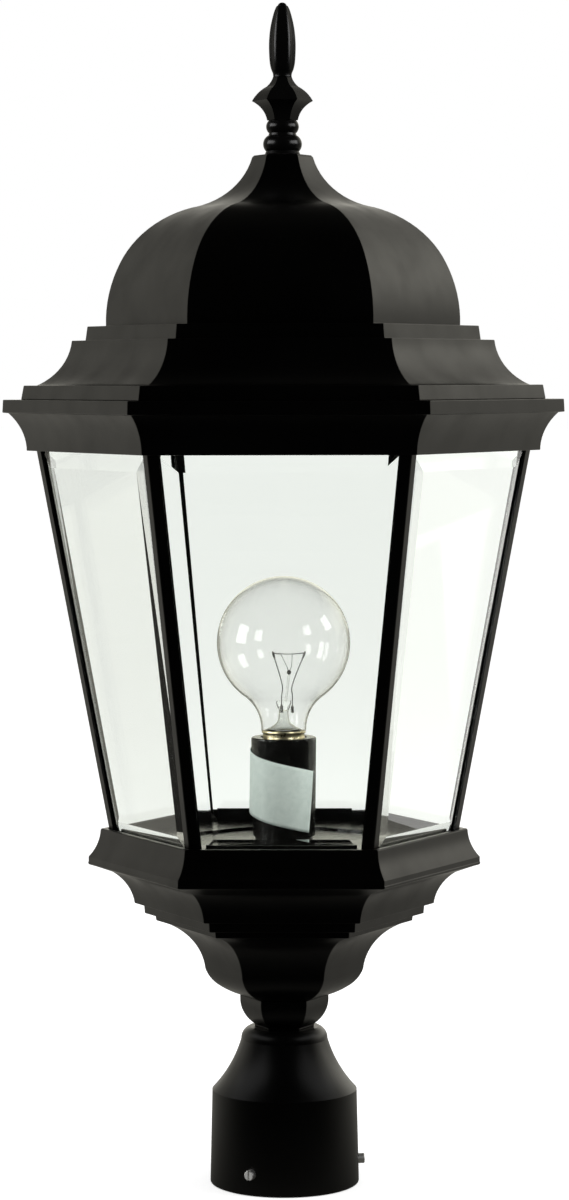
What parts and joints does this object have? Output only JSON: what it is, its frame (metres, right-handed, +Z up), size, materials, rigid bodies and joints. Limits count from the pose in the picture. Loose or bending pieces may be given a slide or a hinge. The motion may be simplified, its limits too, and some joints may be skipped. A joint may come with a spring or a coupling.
{
  "type": "post top lantern",
  "caption": "Hexagonal outdoor post lantern with a two-tier bell roof, finial, bevelled clear panes, stepped pan, globe bulb and a round fitter for a 3 inch post.",
  "frame": {"origin": "centre of the mouth of the round fitter that slips over the post", "axes": "+Z up along the post; a flat side and its pane face -Y; corners lie on +X and -X"},
  "size_m": [0.3342, 0.2894, 0.7032],
  "materials": {
    "black_paint": "satin black powder coat on cast aluminium",
    "pane_glass": "clear bevelled plate glass",
    "bulb_glass": "clear blown glass",
    "stem_glass": "clear pressed glass",
    "brass": "bright rolled brass",
    "zinc_steel": "zinc plated",
    "black_socket": "moulded phenolic",
    "rubber_seal": "matt",
    "paper_wrap": "plain blank paper",
    "filament": "tungsten wire",
    "bulb_insulator": "black glass"
  },
  "bodies": {
    "lantern": {"bottom_rail_1": "black_paint", "bottom_rail_2": "black_paint", "bottom_rail_3": "black_paint", "bottom_rail_4": "black_paint", "bottom_rail_5": "black_paint", "bottom_rail_6": "black_paint", "clip_screws": "zinc_steel", "corner_post_1": "black_paint", "corner_post_2": "black_paint", "corner_post_3": "black_paint", "corner_post_4": "black_paint", "corner_post_5": "black_paint", "corner_post_6": "black_paint", "cross_bar": "zinc_steel", "cross_bar_screws": "zinc_steel", "crown_frame": "black_paint", "finial_rod": "zinc_steel", "fitter": "black_paint", "fitter_lock_nut": "zinc_steel", "fitter_washer": "zinc_steel", "floor_lock_nut": "zinc_steel", "floor_plate": "black_paint", "foot_gussets": "black_paint", "glass_pane_1": "pane_glass", "glass_pane_2": "pane_glass", "glass_pane_3": "pane_glass", "glass_pane_4": "pane_glass", "glass_pane_5": "pane_glass", "glass_pane_6": "pane_glass", "head_gussets": "black_paint", "neck_knob": "black_paint", "nipple": "zinc_steel", "pan": "black_paint", "pan_lock_nut": "zinc_steel", "pane_clips": "zinc_steel", "rail_screws": "zinc_steel", "rod_nuts": "zinc_steel", "socket_body": "black_socket", "socket_cap": "black_socket", "socket_contact": "brass", "socket_shell": "brass", "socket_wrap": "paper_wrap"},
    "roof": {"roof": "black_paint", "finial_seal": "rubber_seal"},
    "finial": {"finial": "black_paint"},
    "bulb": {"bulb_glass": "bulb_glass", "bulb_base": "brass", "bulb_insulator": "bulb_insulator", "bulb_tip": "brass", "bulb_stem": "stem_glass", "bulb_leads": "zinc_steel", "bulb_filament": "filament"},
    "set_screw_1": {"set_screw_1": "zinc_steel"},
    "set_screw_2": {"set_screw_2": "zinc_steel"},
    "set_screw_3": {"set_screw_3": "zinc_steel"}
  },
  "joints": [
    {"name": "roof_lift", "type": "slide", "parent": "lantern", "child": "roof", "axis": [0, 0, 1], "range_m": [0, 0.2]},
    {"name": "finial_turn", "type": "hinge", "parent": "roof", "child": "finial", "pos_m": [0, 0, 0.6145], "axis": [0, 0, 1], "continuous": true},
    {"name": "bulb_out", "type": "slide", "parent": "lantern", "child": "bulb", "axis": [0, 0, 1], "range_m": [0, 0.07]},
    {"name": "set_screw_1_travel", "type": "slide", "parent": "lantern", "child": "set_screw_1", "axis": [-0.4289, -0.9033, 0], "range_m": [-0.003, 0.003]},
    {"name": "set_screw_2_travel", "type": "slide", "parent": "lantern", "child": "set_screw_2", "axis": [0.9968, 0.0802, 0], "range_m": [-0.003, 0.003]},
    {"name": "set_screw_3_travel", "type": "slide", "parent": "lantern", "child": "set_screw_3", "axis": [-0.5678, 0.8231, 0], "range_m": [-0.003, 0.003]}
  ]
}
